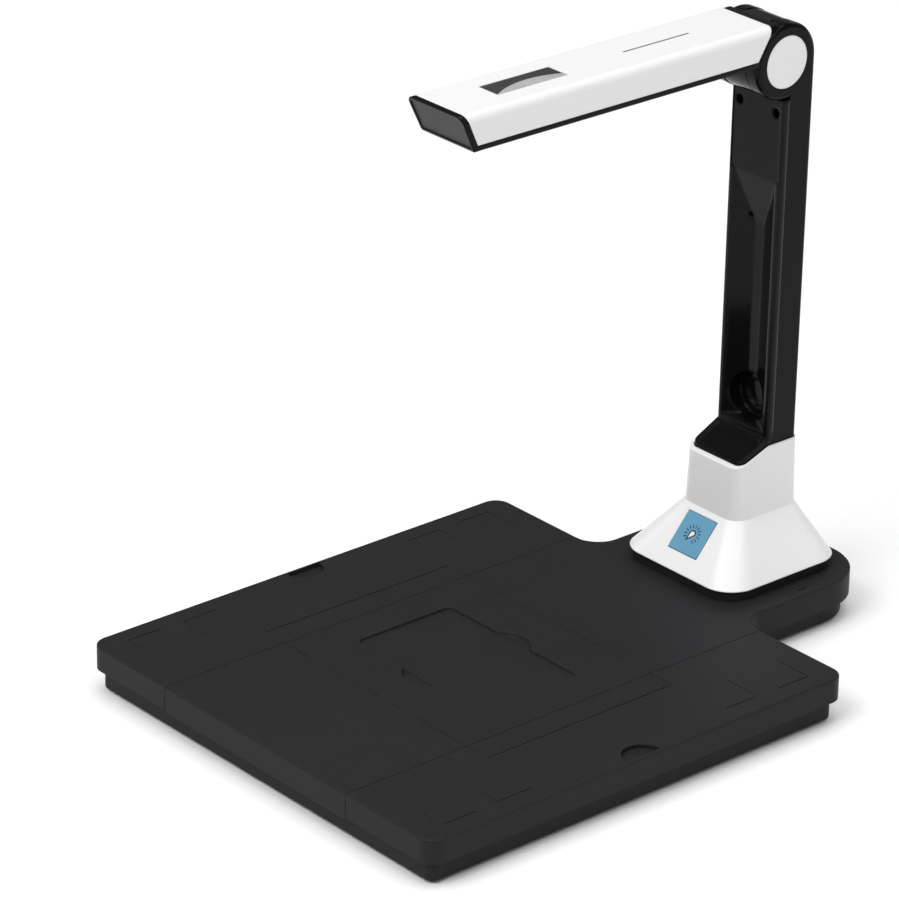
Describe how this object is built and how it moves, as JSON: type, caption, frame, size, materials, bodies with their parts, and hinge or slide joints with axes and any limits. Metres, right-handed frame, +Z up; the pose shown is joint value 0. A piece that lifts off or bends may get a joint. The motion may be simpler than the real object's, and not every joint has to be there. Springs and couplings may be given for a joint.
{
  "type": "book scanner",
  "caption": "Folding document camera on a flat base board: a hinged arm on a post looks down at the page, with side leaves and a light key.",
  "frame": {"origin": "on the desk, under the middle of the whole object's outline", "axes": "+X to the right of someone who faces the post across the board, +Y towards the post, +Z up"},
  "size_m": [0.234, 0.328, 0.29],
  "materials": {
    "board_black": "fine-textured matt black, thinly engraved",
    "post_black": "satin to gloss black",
    "arm_black": "satin black with a glossy edge",
    "shell_white": "satin white",
    "key_blue": "smooth printed blue",
    "mark_dark": "printed",
    "mark_white": "printed",
    "foot_rubber": "matt",
    "screw_steel": "plain",
    "screw_black": "black oxide",
    "washer_nylon": "plain",
    "runner_nylon": "smooth",
    "circuit_green": "solder mask",
    "chip_black": "matt",
    "ribbon_white": "plain",
    "window_dark": "dark with a fine brushed grain",
    "trim_silver": "bright",
    "slot_dark": "dark",
    "lens_glass": "coated",
    "lamp_cover": "frosted",
    "led_yellow": "phosphor"
  },
  "bodies": {
    "base": {"base_tray": "board_black", "centre_deck": "board_black", "rubber_feet": "foot_rubber", "deck_screws": "screw_steel", "runner_guides": "board_black", "foot_plinth": "board_black", "foot_shell": "shell_white", "foot_screws": "screw_steel", "key_board": "circuit_green", "main_board": "circuit_green", "usb_inlet": "screw_steel", "post_front": "post_black", "post_back": "post_black", "post_screws": "screw_black", "ribbon_cable": "ribbon_white", "hinge_axle": "screw_steel", "disc_springs": "screw_steel", "hinge_nut": "screw_steel", "friction_washers": "washer_nylon", "hinge_cap_left": "shell_white", "hinge_cap_right": "shell_white"},
    "left_leaf": {"left_leaf": "board_black", "left_runners": "runner_nylon"},
    "right_leaf": {"right_leaf": "board_black", "right_runners": "runner_nylon"},
    "light_key": {"light_key": "key_blue", "light_mark": "mark_dark", "light_mark_core": "mark_white"},
    "arm": {"arm_top": "shell_white", "arm_base": "arm_black", "arm_knuckle": "arm_black", "end_cap": "arm_black", "arm_window": "window_dark", "window_trim": "trim_silver", "top_slot": "slot_dark", "camera_board": "circuit_green", "image_sensor": "chip_black", "lens_barrel": "arm_black", "lens_glass": "lens_glass", "lamp_cover": "lamp_cover", "lamp_board": "circuit_green", "lamp_leds": "led_yellow", "arm_screws": "screw_black"}
  },
  "joints": [
    {"name": "arm_fold", "type": "hinge", "parent": "base", "child": "arm", "pos_m": [0, 0.123, 0.271], "axis": [1, 0, 0], "range_deg": [0, 90]},
    {"name": "left_leaf_slide", "type": "slide", "parent": "base", "child": "left_leaf", "axis": [-1, 0, 0], "range_m": [0, 0.035]},
    {"name": "right_leaf_slide", "type": "slide", "parent": "base", "child": "right_leaf", "axis": [1, 0, 0], "range_m": [0, 0.035]},
    {"name": "light_key_press", "type": "slide", "parent": "base", "child": "light_key", "axis": [0, 0.7566, -0.6539], "range_m": [0, 0.0005], "stiffness_N_per_m": 2000, "springref_m": -0.0002}
  ]
}
